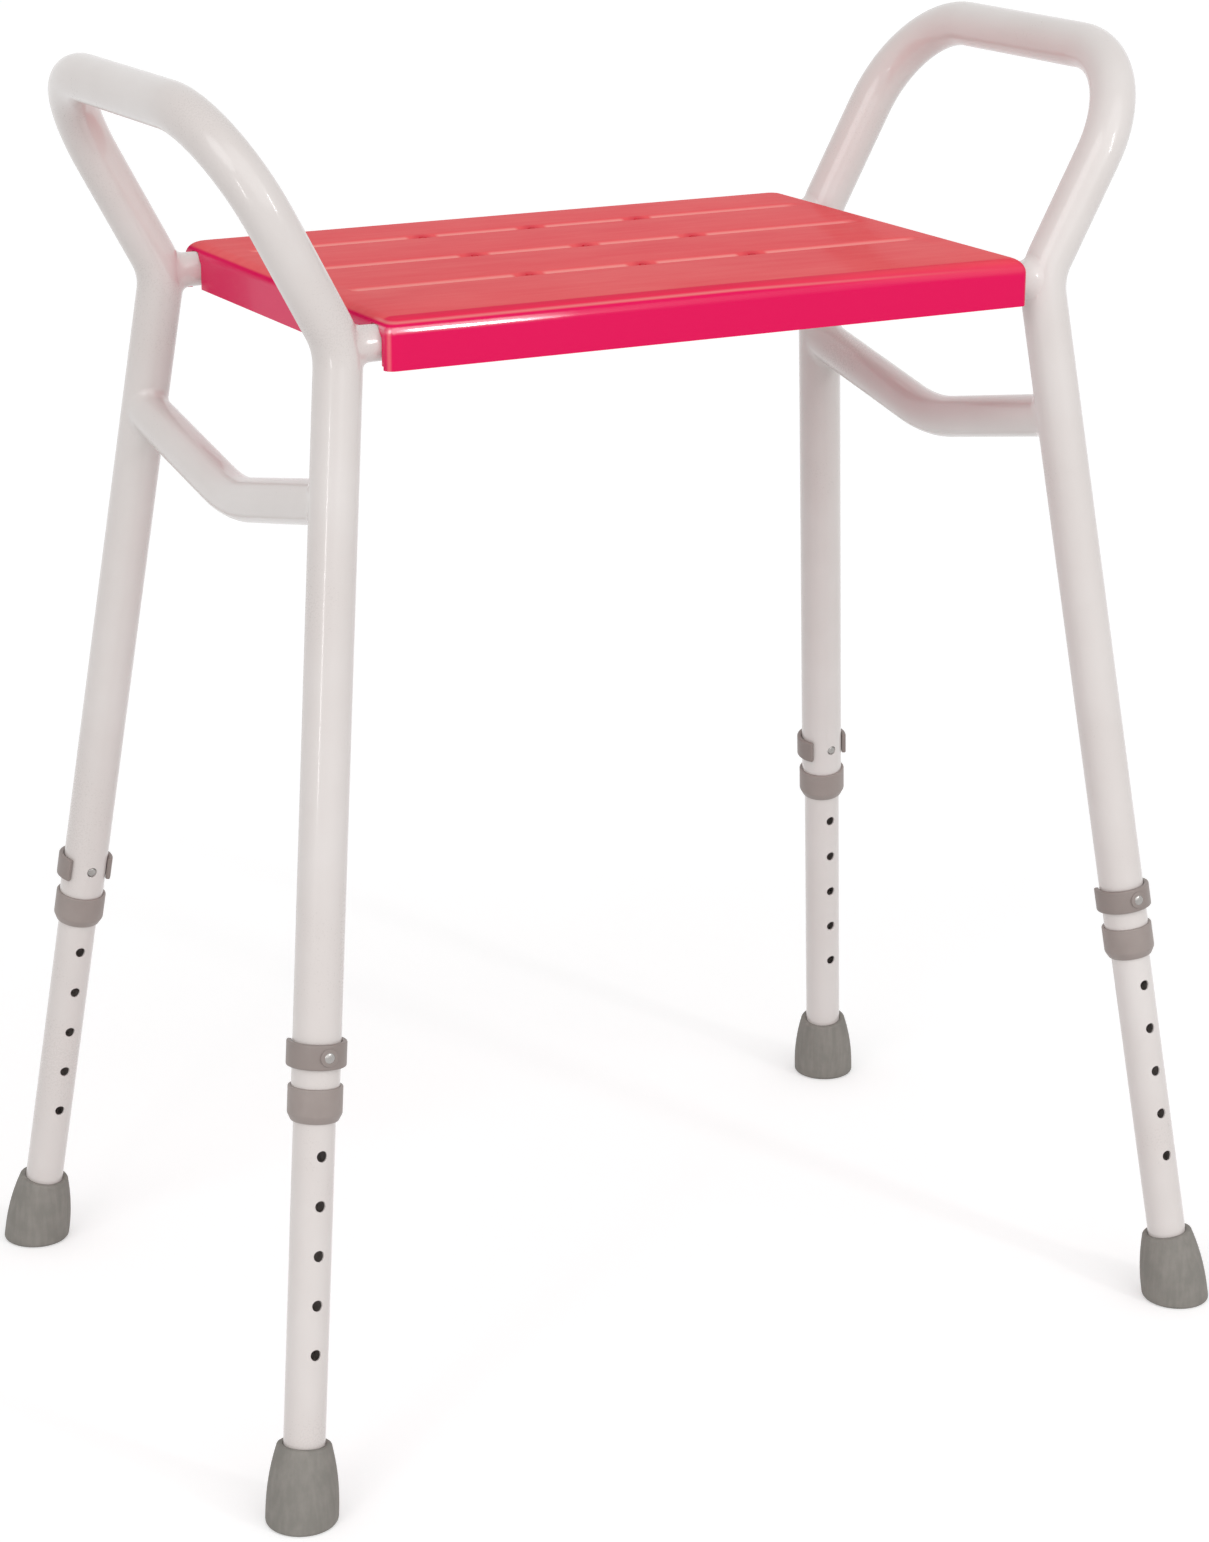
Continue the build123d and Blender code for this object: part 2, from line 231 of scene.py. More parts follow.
def seatPlastic():
    paint = newPaint("seat_plastic")
    at = paint.place()
    x, y, z = (paint.along(at, axis) for axis in "XYZ")
    depth = (seatHigh.z - z) / mm
    fromFront = (y - seatLow.y) / mm
    pastEnd = (abs(x) - seatHigh.x) / mm
    rightwards = (x / mm).rise(*seatZones["right"])
    leftwards = (x / mm).rise(*seatZones["left"])
    atFront = (y / mm).rise(*seatZones["front"])

    # from the value on the left half to the one at the right end
    def across(ends):
        return ends[0] + rightwards * (ends[1] - ends[0])

    # painted shade: along the front rim the top's painted sheen is held back, so the band stays deep red
    paintedRimShade = ((across(seatFront["rimShadeWide"]) - fromFront) / seatFront["rimShadeFade"]).clamped()
    paintedRimShade = paintedRimShade * across(seatFront["rimShadeShare"])
    # onTop marks the paler top colour, its painted sheen, fading softly over the rolled edge towards the right
    onTop = ((across(seatFront["topDepth"]) - depth) / across(seatFront["topFade"])).clamped() * (1.0 - paintedRimShade)
    onRoll = depth.rise(*seatZones["rollFoot"]) * depth.rise(*seatZones["rollTop"])
    onEdge = onRoll * (seatLook["edgeAll"] + atFront * leftwards * seatLook["edgeLeft"])
    # painted highlight: a pale line along the front rolled edge, fading towards the right
    offPaintedEdgeLine = abs(depth - across(seatFront["paintedEdgeLineDepth"]))
    paintedEdgeLine = offPaintedEdgeLine.rise(*seatZones["paintedEdgeLine"]) * atFront * (1.0 - rightwards)
    # painted highlight: a pale line down the rounded front corners
    corner = seat["corner"] / mm
    paintedCornerHighlight = (pastEnd + corner).least(corner - fromFront).rise(*seatZones["corner"])
    onEnd = pastEnd.rise(*seatZones["end"])
    rowGap = gapTo(y, seat["rows"])
    columnGap = gapTo(x, seat["columns"])
    endGap = (seatHigh.x - seat["grooveInset"] - abs(x)) / mm
    # painted highlight: pale lines along the grooves, stopping at the drains and short of the groove ends
    paintedGrooveHighlight = rowGap.rise(*seatZones["paintedHighlight"]) * columnGap.rise(*seatZones["grooveGap"])
    paintedGrooveHighlight = paintedGrooveHighlight * endGap.rise(*seatZones["grooveEnd"])
    # painted shade: darker rings round the drains
    ring = ((rowGap * rowGap + columnGap * columnGap) ** 0.5).rise(*seatZones["drain"])
    cloud = paint.noise(at, seatLook["cloudScale"], detail=4.0)
    drawnOut = paint.stretched(at, seatLook["streakStretch"])
    streak = paint.noise(drawnOut, seatLook["streakScale"], detail=3.0)
    grain = paint.noise(at, seatLook["grainScale"], detail=2.0)
    wear = (cloud * seatLook["cloudWear"] + streak * seatLook["streakWear"] - seatLook["wearFrom"]).clamped()
    # the top's colour: paler than the lips as painted sheen, then painted groove highlights and painted shade
    # round the drains
    topColour = paint.between(wear, seatLook["top"], seatLook["worn"])
    topColour = paint.between(paintedGrooveHighlight, topColour, seatLook["paintedHighlight"])
    topColour = paint.between(ring * seatLook["drainShadeShare"], topColour, seatLook["drain"])
    colour = paint.between(depth.rise(*seatZones["rimColour"]), seatLook["lip"], seatLook["rim"])
    colour = paint.between(onTop, colour, topColour)
    # the painted highlight line on the rolled edge
    colour = paint.between(paintedEdgeLine, colour, seatLook["paintedEdgeLine"])
    # the painted highlight on the front corners
    colour = paint.between(paintedCornerHighlight * seatLook["cornerHighlightShare"], colour, seatLook["paintedHighlight"])
    gloss = seatLook["lipGloss"] + onEdge * seatLook["edgeGloss"] + onTop * seatLook["topGloss"]
    return paint.surface({
        "Base Color": colour, "Roughness": seatLook["roughness"] + cloud.swing(seatLook["cloudRough"]),
        "Specular IOR Level": seatLook["specular"], "Coat Weight": gloss + onEnd * seatLook["endGloss"],
        "Coat Roughness": seatLook["coatRoughness"], "Coat IOR": seatLook["coatIor"],
        "Normal": paint.bump(grain, seatLook["grainBump"], seatLook["grainDepth"])})


# Satin warm grey plastic of the clips and collars, with the clips a shade darker
greyLook = {"colour": (0.345, 0.294, 0.274), "dark": (0.30, 0.252, 0.234),
            "band": (0.245, 0.203, 0.188), "bandRise": (236.0, 1.0), "bandShare": 0.6,
            "cloudScale": 60.0, "cloudRise": (0.3, 2.0), "cloudRough": 0.15, "roughness": 0.42,
            "specular": 0.45, "grainScale": 700.0, "grainDepth": 0.04 * mm, "grainBump": 0.4}


def greyPlastic():
    paint = newPaint("grey_plastic")
    at = paint.place()
    cloud = paint.noise(at, greyLook["cloudScale"], detail=3.0)
    grain = paint.noise(at, greyLook["grainScale"], detail=2.0)
    colour = paint.between(cloud.rise(*greyLook["cloudRise"]), greyLook["dark"], greyLook["colour"])
    height = paint.along(at, "Z") / mm
    onBand = height.rise(*greyLook["bandRise"]) * greyLook["bandShare"]
    colour = paint.between(onBand, colour, greyLook["band"])
    return paint.surface({
        "Base Color": colour, "Roughness": greyLook["roughness"] + cloud.swing(greyLook["cloudRough"]),
        "Specular IOR Level": greyLook["specular"],
        "Normal": paint.bump(grain, greyLook["grainBump"], greyLook["grainDepth"])})


# Matt grey rubber of the feet, slightly mottled and dusty
rubberLook = {"colour": (0.222, 0.210, 0.190), "dust": (0.30, 0.278, 0.254), "dustAll": 0.1,
              "cloudScale": 75.0, "cloudMean": 0.42, "cloudDust": 1.7, "cloudRough": 0.2, "roughness": 0.72,
              "streakScale": 330.0, "streakStretch": (1.0, 1.0, 0.12), "streakDust": 1.3, "specular": 0.35,
              "grainScale": 520.0, "grainDepth": 0.12 * mm, "grainBump": 0.5}


def footRubber():
    paint = newPaint("grey_rubber")
    at = paint.place()
    cloud = paint.noise(at, rubberLook["cloudScale"], detail=4.0, roughness=0.6)
    grain = paint.noise(at, rubberLook["grainScale"], detail=3.0)
    drawnOut = paint.stretched(at, rubberLook["streakStretch"])
    streak = paint.noise(drawnOut, rubberLook["streakScale"], detail=3.0)
    dusty = (cloud - rubberLook["cloudMean"]) * rubberLook["cloudDust"]
    dusty = (dusty + streak.swing(rubberLook["streakDust"]) + rubberLook["dustAll"]).clamped()
    colour = paint.between(dusty, rubberLook["colour"], rubberLook["dust"])
    return paint.surface({
        "Base Color": colour, "Roughness": rubberLook["roughness"] + cloud.swing(rubberLook["cloudRough"]),
        "Specular IOR Level": rubberLook["specular"],
        "Normal": paint.bump(grain, rubberLook["grainBump"], rubberLook["grainDepth"])})


# Zinc-plated steel of the pins, screws and washers
steelLook = {"colour": (0.47, 0.455, 0.44), "dull": (0.34, 0.328, 0.316), "cloudScale": 260.0,
             "cloudRise": (0.35, 2.0), "scuffScale": 1500.0, "roughness": 0.26, "cloudRough": 0.2,
             "scuffRough": 0.1}


def brightSteel():
    paint = newPaint("bright_steel")
    at = paint.place()
    cloud = paint.noise(at, steelLook["cloudScale"], detail=3.0)
    scuff = paint.noise(at, steelLook["scuffScale"], detail=2.0)
    colour = paint.between(cloud.rise(*steelLook["cloudRise"]), steelLook["dull"], steelLook["colour"])
    rough = steelLook["roughness"] + cloud.swing(steelLook["cloudRough"])
    rough = rough + scuff.swing(steelLook["scuffRough"])
    return paint.surface({"Base Color": colour, "Roughness": rough, "Metallic": 1.0})


paints = {"powder_coat": powderCoat(), "seat_plastic": seatPlastic(), "grey_plastic": greyPlastic(),
          "grey_rubber": footRubber(), "bright_steel": brightSteel()}
print("materials made:", len(paints))


# Each leg's place: Z up the leg from the floor, Y the way its clip pulls off
sides = ("left", "right")
legs = [f"{end}_{side}" for end in ("front", "rear") for side in sides]
jointAxis = {joint["name"]: Vector(joint["axis"]).normalized() for joint in frame["joints"]}
mountPlace = {mount["name"]: Vector(mount["pos_m"]) for mount in frame["record"]["mounts"]}


def legPlace(leg):
    up = jointAxis[leg + "_leg_slide"]
    off = jointAxis[leg + "_clip_pull"]
    place = Matrix((off.cross(up), off, up)).transposed().to_4x4()
    place.translation = mountPlace[leg + "_sole"]
    return place


def legPoint(leg, height):
    place = legPlace(leg)
    up = place.col[2].to_3d()
    return place.translation + up * (height / up.z)


softEdge = {"segments": 2, "fromAngle": 50}  # the bevel that rounds a piece's sharp edges
weldSharp = 60  # degrees past which an edge stays sharp on welded tubes
mouldSharp = 40  # and on moulded or turned pieces


def finishPiece(name, bm, slot, body, nodes, wall=0.0, edge=0.0, sharp=32):
    mesh = bpy.data.meshes.new(name)
    bm.to_mesh(mesh)
    bm.free()
    mesh.polygons.foreach_set("use_smooth", [True] * len(mesh.polygons))
    mesh.set_sharp_from_angle(angle=radians(sharp))
    mesh.materials.append(paints[slot])
    piece = bpy.data.objects.new(name, mesh)
    scene.collection.objects.link(piece)
    if wall:
        shell = piece.modifiers.new("wall", "SOLIDIFY")
        shell.thickness = wall
        shell.offset = -1.0  # grows inwards
    if edge:
        soft = piece.modifiers.new("edge", "BEVEL")
        soft.width = edge
        soft.segments = softEdge["segments"]
        soft.limit_method = "ANGLE"
        soft.angle_limit = radians(softEdge["fromAngle"])
        soft.harden_normals = True
    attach(piece, body)
    if nodes:
        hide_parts(*nodes)


# Distances under which vertices count as one
merge = {"cut": 0.001 * mm, "seam": 0.005 * mm, "mirror": 0.01 * mm}


def unique(items):
    return list(dict.fromkeys(items))


def everything(bm):
    return bm.verts[:] + bm.edges[:] + bm.faces[:]


def edgesAmong(verts):
    chosen = set(verts)
    return [e for e in unique(e for v in verts for e in v.link_edges) if chosen.issuperset(e.verts)]


def onlyVerts(geom):
    return [g for g in geom if isinstance(g, bmesh.types.BMVert)]


def roundOff(bm, geom, size, steps, affect="EDGES"):
    bmesh.ops.bevel(bm, geom=geom, offset=size, offset_type="OFFSET", affect=affect, segments=steps,
                    profile=0.5, material=-1)


def startRing(bm, place, radius, around):
    return bmesh.ops.create_circle(bm, radius=radius, segments=around, matrix=place)["verts"]


def carryRing(bm, ring, shift):
    fresh = onlyVerts(bmesh.ops.extrude_edge_only(bm, edges=edgesAmong(ring))["geom"])
    bmesh.ops.translate(bm, verts=fresh, vec=shift)
    return fresh


def bendRing(bm, ring, centre, axis, angle, steps):
    made = bmesh.ops.spin(bm, geom=ring + edgesAmong(ring), cent=centre, axis=axis, angle=angle, steps=steps)
    return onlyVerts(made["geom_last"])


# Carries a ring of vertices along straight runs and round corner bends
def followPath(bm, ring, points, radii, steps):
    here = points[0]
    for corner, after, radius in zip(points[1:], points[2:], radii):
        into = (corner - here).normalized()
        out = (after - corner).normalized()
        turn = into.angle(out)
        reach = radius * tan(turn / 2)
        ring = carryRing(bm, ring, corner - into * reach - here)
        axis = into.cross(out).normalized()
        centre = corner - into * reach + axis.cross(into) * radius
        ring = bendRing(bm, ring, centre, axis, turn, steps)
        here = corner + out * reach
    carryRing(bm, ring, points[-1] - here)


holeCells = 2  # a round hole takes the place of a square this many cells each way from its middle


# Opens both mouths of a cross hole in a tube, where rows of vertices were left for it
def drillTube(bm, place, distance, tubeRadius, holeRadius, around):
    back = place.inverted()
    step = 2 * pi / around
    row = tubeRadius * step
    rim = []
    inside = []
    for vert in bm.verts:
        spot = back @ vert.co
        column = asin(max(-1.0, min(1.0, spot.x / tubeRadius))) / step
        reach = max(abs(round(column)), abs(round((spot.z - distance) / row)))
        if reach < holeCells:
            inside.append(vert)
        elif reach == holeCells:
            rim.append((vert, spot))
    for vert, spot in rim:
        angle = atan2(spot.z - distance, spot.x)
        x = holeRadius * cos(angle)
        y = sqrt(tubeRadius**2 - x * x) * (1 if spot.y > 0 else -1)
        vert.co = place @ Vector((x, y, distance + holeRadius * sin(angle)))
    bmesh.ops.delete(bm, geom=inside, context="VERTS")


def holeRows(distance, tubeRadius, around):
    row = 2 * pi * tubeRadius / around
    return [distance + k * row for k in range(-holeCells - 1, holeCells + 2)]


weld = {"rows": 8, "sink": 0.05 * mm}


# Ends a tube on another one with a weld that runs smoothly into both, and closes it inside
def weldOn(bm, ring, along, skin, fillet):
    middle = sum((v.co for v in ring), Vector()) / len(ring)
    curves = {}
    for vert in ring:
        hit, normal = skin.ray_cast(vert.co, along)[:2]
        out = (vert.co - middle).normalized()
        slide = (out - normal * out.dot(normal)).normalized()
        end, normal = skin.find_nearest(hit + slide * fillet)[:2]
        curves[vert] = (hit - along * fillet, hit, end - normal * weld["sink"])
    for row in range(weld["rows"] + 1):
        share = row / weld["rows"]
        fresh = carryRing(bm, ring, Vector())
        known = set(ring)
        moved = {}
        for vert in fresh:
            old = next(e.other_vert(vert) for e in vert.link_edges if e.other_vert(vert) in known)
            start, corner, end = curves[old]
            vert.co = start.lerp(corner, share).lerp(corner.lerp(end, share), share)
            moved[vert] = curves[old]
        ring = fresh
        curves = moved
    bmesh.ops.contextual_create(bm, geom=edgesAmong(ring))


def mirrorHalf(bm, axis):
    bmesh.ops.mirror(bm, geom=everything(bm), axis=axis, merge_dist=merge["mirror"])
    bmesh.ops.remove_doubles(bm, verts=bm.verts[:], dist=merge["seam"])
    bmesh.ops.recalc_face_normals(bm, faces=bm.faces[:])


# Corners (x, y, round) become an outline with short arcs
def rounded(corners, steps=4):
    outline = []
    for spot, (x, y, size) in enumerate(corners):
        here = Vector((x, y))
        if not size:
            outline.append(here)
            continue
        back = (Vector(corners[spot - 1][:2]) - here).normalized()
        on = (Vector(corners[(spot + 1) % len(corners)][:2]) - here).normalized()
        half = back.angle(on) / 2
        centre = here + (back + on).normalized() * size / sin(half)
        first = here + back * size / tan(half) - centre
        last = here + on * size / tan(half) - centre
        for k in range(steps + 1):
            outline.append(centre + first.lerp(last, k / steps).normalized() * size)
    return outline


# Turns an outline of (radius, height) about Z and sets the result in place
def turnOutline(bm, outline, place, closed=False, around=64):
    verts = [bm.verts.new((r, 0, z)) for r, z in outline]
    pairs = list(zip(verts, verts[1:]))
    if closed:
        pairs.append((verts[-1], verts[0]))
    edges = [bm.edges.new(pair) for pair in pairs]
    before = set(bm.verts) - set(verts)
    bmesh.ops.spin(bm, geom=verts + edges, cent=(0, 0, 0), axis=(0, 0, 1), angle=2 * pi, steps=around,
                   use_merge=True)
    made = [v for v in bm.verts if v not in before]
    bmesh.ops.remove_doubles(bm, verts=made, dist=merge["cut"])
    made = [v for v in bm.verts if v not in before]
    bmesh.ops.recalc_face_normals(bm, faces=unique(f for v in made for f in v.link_faces))
    bmesh.ops.transform(bm, matrix=place, verts=made)


# Side frames: front leg, arm loop and rear leg in one bent tube
tubeAround = 48
sideFrame = {"tubeD": 25.4 * mm, "wall": 1.2 * mm, "endUp": 217.8 * mm, "bendRadius": 36 * mm,
             "cornerRadius": 60 * mm, "cornerSteps": 20, "edge": 0.3 * mm}
legSetting = {"tubeD": 22.2 * mm, "wall": 1.2 * mm, "footUp": 12.6 * mm, "topUp": 315 * mm, "holeD": 6 * mm,
              "lowest": 92 * mm, "pitch": 26.4 * mm, "count": 7, "edge": 0.25 * mm}
holesUp = [legSetting["lowest"] + k * legSetting["pitch"] for k in range(legSetting["count"])]
pinUp = holesUp[-1]
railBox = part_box("rear_cross_rail")
railSpot = (railBox[0] + railBox[1]) / 2


def sideFrameSkin(side):
    radius = sideFrame["tubeD"] / 2
    leg = "front_" + side
    place = legPlace(leg)
    low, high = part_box(side + "_side_frame")
    handleX = low.x + radius if side == "left" else high.x - radius
    bend = legPoint(leg, railSpot.z)
    corner = Vector((handleX, bend.y, high.z - radius))
    bm = bmesh.new()
    ring = startRing(bm, place @ Matrix.Translation((0, 0, sideFrame["endUp"])), radius, tubeAround)
    here = sideFrame["endUp"]
    for distance in holeRows(pinUp, radius, tubeAround):
        ring = carryRing(bm, ring, place.to_3x3() @ Vector((0, 0, distance - here)))
        here = distance
    path = [place @ Vector((0, 0, here)), bend, corner, Vector((corner.x, 0, corner.z))]
    radii = [sideFrame["bendRadius"], sideFrame["cornerRadius"]]
    followPath(bm, ring, path, radii, sideFrame["cornerSteps"])
    drillTube(bm, place, pinUp, radius, legSetting["holeD"] / 2, tubeAround)
    mirrorHalf(bm, "Y")
    return bm


skins = {}
for side in sides:
    tube = sideFrameSkin(side)
    skins[side] = BVHTree.FromBMesh(tube)
    finishPiece(side + "_frame_tube", tube, "powder_coat", "frame", [side + "_side_frame"],
                wall=sideFrame["wall"], edge=sideFrame["edge"])
print("side frames bent")

# Cross rails under the seat, welded between the side frames
rail = {"tubeD": 19 * mm, "stubFrom": 195 * mm, "fillet": 5 * mm}
for end, way in {"front": -1, "rear": 1}.items():
    bm = bmesh.new()
    middle = Vector((0, way * railSpot.y, railSpot.z))
    place = Matrix.Translation(middle) @ Matrix.Rotation(pi / 2, 4, "Y")
    ring = startRing(bm, place, rail["tubeD"] / 2, tubeAround)
    ring = carryRing(bm, ring, Vector((rail["stubFrom"], 0, 0)))
    weldOn(bm, ring, Vector((1, 0, 0)), skins["right"], rail["fillet"])
    mirrorHalf(bm, "X")
    finishPiece(end + "_rail_tube", bm, "powder_coat", "frame", [end + "_cross_rail"], sharp=weldSharp)

# Side braces, bent down in the middle and welded to the legs
brace = {"tubeD": 24 * mm, "height": 524.8 * mm, "drop": 26 * mm, "bendRadius": 110 * mm, "fillet": 5.5 * mm,
         "weldRoom": 30 * mm, "bendSteps": 8}
for side in sides:
    bm = bmesh.new()
    end = legPoint("rear_" + side, brace["height"])
    slope = atan(brace["drop"] / end.y)
    centre = Vector((end.x, 0, brace["height"] - brace["drop"] + brace["bendRadius"] / cos(slope)))
    lowest = centre - Vector((0, 0, brace["bendRadius"]))
    place = Matrix.Translation(lowest) @ Matrix.Rotation(-pi / 2, 4, "X")
    ring = startRing(bm, place, brace["tubeD"] / 2, tubeAround)
    ring = bendRing(bm, ring, centre, Vector((1, 0, 0)), slope, brace["bendSteps"])
    along = Vector((0, cos(slope), sin(slope)))
    bent = centre + Vector((0, sin(slope), -cos(slope))) * brace["bendRadius"]
    ring = carryRing(bm, ring, along * ((end - bent).length - brace["weldRoom"]))
    weldOn(bm, ring, along, skins[side], brace["fillet"])
    mirrorHalf(bm, "Y")
    finishPiece(side + "_brace_tube", bm, "powder_coat", "frame", [side + "_side_brace"], sharp=weldSharp)
print("rails and braces welded")


# Extending leg tubes with their setting holes
def legTube(leg):
    place = legPlace(leg)
    radius = legSetting["tubeD"] / 2
    up = place.col[2].to_3d()
    bm = bmesh.new()
    ring = startRing(bm, place @ Matrix.Translation((0, 0, legSetting["footUp"])), radius, tubeAround)
    here = legSetting["footUp"]
    stops = [d for hole in holesUp for d in holeRows(hole, radius, tubeAround)]
    for stop in stops + [legSetting["topUp"]]:
        ring = carryRing(bm, ring, up * (stop - here))
        here = stop
    for hole in holesUp:
        drillTube(bm, place, hole, radius, legSetting["holeD"] / 2, tubeAround)
    bmesh.ops.recalc_face_normals(bm, faces=bm.faces[:])
    finishPiece(leg + "_inner_tube", bm, "powder_coat", leg + "_leg", [leg + "_leg_tube"],
                wall=legSetting["wall"], edge=legSetting["edge"])


# Rubber feet: a bell over the tube's end, cut flat where it stands
foot = {"height": 42 * mm, "topD": 29.4 * mm, "bottomD": 38.6 * mm, "rim": 6.5 * mm, "floor": 11 * mm,
        "bore": 11.15 * mm, "boreRound": 0.7 * mm, "lip": 1.5 * mm, "soleEdge": 2.4 * mm, "soleSteps": 4,
        "bellSteps": 10}


def rubberFoot(leg):
    wide = foot["bottomD"] / 2
    drop = wide - foot["topD"] / 2
    rise = foot["height"] - foot["lip"] - foot["rim"]
    sweep = (drop**2 + rise**2) / (2 * drop)  # radius of the bell's side
    turns = [asin(rise / sweep) * k / foot["bellSteps"] for k in range(foot["bellSteps"] + 1)]
    bell = [(wide - sweep + sweep * cos(a), foot["rim"] + sweep * sin(a)) for a in turns]
    lip = rounded([(*bell[-1], 0), (foot["topD"] / 2, foot["height"], foot["lip"]),
                   (foot["bore"], foot["height"], foot["boreRound"]), (foot["bore"], foot["floor"], 0)])
    outline = [(0, -foot["rim"]), (wide, -foot["rim"]), *bell, *lip[1:], (0, foot["floor"])]
    bm = bmesh.new()
    turnOutline(bm, outline, legPlace(leg))
    cut = bmesh.ops.bisect_plane(bm, geom=everything(bm), plane_co=(0, 0, 0), plane_no=(0, 0, 1),
                                 clear_inner=True)
    loop = [g for g in cut["geom_cut"] if isinstance(g, bmesh.types.BMEdge)]
    sole = bmesh.ops.contextual_create(bm, geom=loop)["faces"]
    bmesh.ops.recalc_face_normals(bm, faces=bm.faces[:])
    roundOff(bm, list(sole[0].edges), foot["soleEdge"], foot["soleSteps"])
    finishPiece(leg + "_foot", bm, "grey_rubber", leg + "_leg", [leg + "_rubber_foot"], sharp=mouldSharp)


# Collars on the lower ends of the side frames
collar = {"bottom": 214.8 * mm, "length": 18.6 * mm, "outerD": 28.8 * mm, "lip": 3 * mm,
          "taper": 2 * mm, "taperUp": 4 * mm, "tubeBore": 12.75 * mm, "legBore": 11.4 * mm,
          "topRound": 0.7 * mm, "sideRound": 2.5 * mm, "footRound": 0.8 * mm, "boreRound": 0.4 * mm,
          "innerRound": 0.3 * mm}


def tubeCollar(leg):
    low = collar["bottom"]
    top = low + collar["length"]
    out = collar["outerD"] / 2
    outline = rounded([
        (collar["legBore"], low, collar["boreRound"]), (out - collar["taper"], low, collar["footRound"]),
        (out, low + collar["taperUp"], collar["sideRound"]), (out, top, collar["topRound"]),
        (collar["tubeBore"], top, collar["innerRound"]), (collar["tubeBore"], low + collar["lip"], 0),
        (collar["legBore"], low + collar["lip"], collar["innerRound"])])
    bm = bmesh.new()
    turnOutline(bm, outline, legPlace(leg), closed=True)
    finishPiece(leg + "_tube_collar", bm, "grey_plastic", "frame", [leg + "_collar"], sharp=mouldSharp)


# Locking clips: an open band, the boss on it and the cross pin
clipAround = 40
clip = {"inner": 12.95 * mm, "thick": 2.8 * mm, "height": 13.4 * mm, "round": 0.9 * mm, "opening": 55,
        "steps": 48, "endRound": 0.54 * mm, "endSteps": 3,
        "bossR": 4.9 * mm, "bossUp": 0.6 * mm, "bossFrom": 1 * mm, "bossRound": 0.6 * mm}
pin = {"radius": 2.7 * mm, "tip": 12.3 * mm, "tipRound": 0.9 * mm, "headR": 2.9 * mm, "headUp": 1.2 * mm,
       "headSink": 0.2 * mm, "domeSteps": 6}
clipOuter = clip["inner"] + clip["thick"]


def clipBand(leg):
    place = legPlace(leg) @ Matrix.Translation((0, 0, pinUp))
    half = clip["height"] / 2
    section = rounded([(clip["inner"], -half, clip["round"]), (clipOuter, -half, clip["round"]),
                       (clipOuter, half, clip["round"]), (clip["inner"], half, clip["round"])])
    bm = bmesh.new()
    start = Matrix.Rotation(radians(clip["opening"] - 90), 3, "Z")
    face = bm.faces.new([bm.verts.new(start @ Vector((r, 0, z))) for r, z in section])
    bmesh.ops.spin(bm, geom=[face], cent=(0, 0, 0), axis=(0, 0, 1), angle=radians(360 - 2 * clip["opening"]),
                   steps=clip["steps"])
    bmesh.ops.recalc_face_normals(bm, faces=bm.faces[:])
    caps = [f for f in bm.faces if len(f.verts) > 4]  # the band's two ends
    roundOff(bm, [e for f in caps for e in f.edges], clip["endRound"], clip["endSteps"])
    bmesh.ops.transform(bm, matrix=place, verts=bm.verts[:])
    bossLow = clip["inner"] + clip["bossFrom"]
    bossTop = clipOuter + clip["bossUp"]
    boss = rounded([(0, bossLow, 0), (clip["bossR"], bossLow, 0), (clip["bossR"], bossTop, clip["bossRound"]),
                    (0, bossTop, 0)])
    turnOutline(bm, boss, place @ Matrix.Rotation(-pi / 2, 4, "X"), around=clipAround)
    finishPiece(leg + "_clip_strap", bm, "grey_plastic", leg + "_clip", [leg + "_clip_band"],
                sharp=mouldSharp)


def clipPin(leg):
    place = legPlace(leg) @ Matrix.Translation((0, 0, pinUp)) @ Matrix.Rotation(-pi / 2, 4, "X")
    seatAt = clipOuter + clip["bossUp"] - pin["headSink"]
    top = clipOuter + pin["headUp"]
    shank = rounded([(0, -pin["tip"], 0), (pin["radius"], -pin["tip"], pin["tipRound"]),
                     (pin["radius"], seatAt, 0)])
    angles = [pi / 2 * k / pin["domeSteps"] for k in range(pin["domeSteps"])]
    dome = [(pin["headR"] * cos(a), seatAt + (top - seatAt) * sin(a)) for a in angles]
    bm = bmesh.new()
    turnOutline(bm, [*shank, *dome, (0, top)], place, around=clipAround)
    finishPiece(leg + "_cross_pin", bm, "bright_steel", leg + "_clip", [leg + "_clip_pin"], sharp=mouldSharp)


for leg in legs:
    legTube(leg)
    rubberFoot(leg)
    tubeCollar(leg)
    clipBand(leg)
    clipPin(leg)
print("legs fitted:", len(legs))


# Seat: a panel with rolled edges, grooves with drain holes, and notches over the rails
def cutAll(bm, spot, normal):
    bmesh.ops.bisect_plane(bm, geom=everything(bm), dist=merge["cut"], plane_co=spot, plane_no=normal)


def seatShell():
    bm = bmesh.new()
    flat = Matrix.Translation((0, 0, seatLow.z)) @ Matrix.Diagonal((seatSize.x, seatSize.y, 1, 1))
    bmesh.ops.create_grid(bm, x_segments=1, y_segments=1, size=0.5, matrix=flat)
    roundOff(bm, bm.verts[:], seat["corner"], seat["cornerSteps"], affect="VERTICES")
    bmesh.ops.delete(bm, geom=bm.faces[:], context="FACES_ONLY")
    ring = carryRing(bm, bm.verts[:], Vector((0, 0, seatSize.z - seat["edge"])))
    reach = 0.0
    risen = 0.0
    for k in range(1, seat["edgeSteps"] + 1):
        angle = pi / 2 * k / seat["edgeSteps"]
        inset = seat["edge"] * (1 - cos(angle))
        rise = seat["edge"] * sin(angle)
        ring = carryRing(bm, ring, Vector((0, 0, rise - risen)))
        shrink = [(length / 2 - inset) / (length / 2 - reach) for length in seatSize.xy]
        bmesh.ops.scale(bm, vec=(*shrink, 1.0), verts=ring)
        reach = inset
        risen = rise
    bmesh.ops.contextual_create(bm, geom=edgesAmong(ring))
    return bm


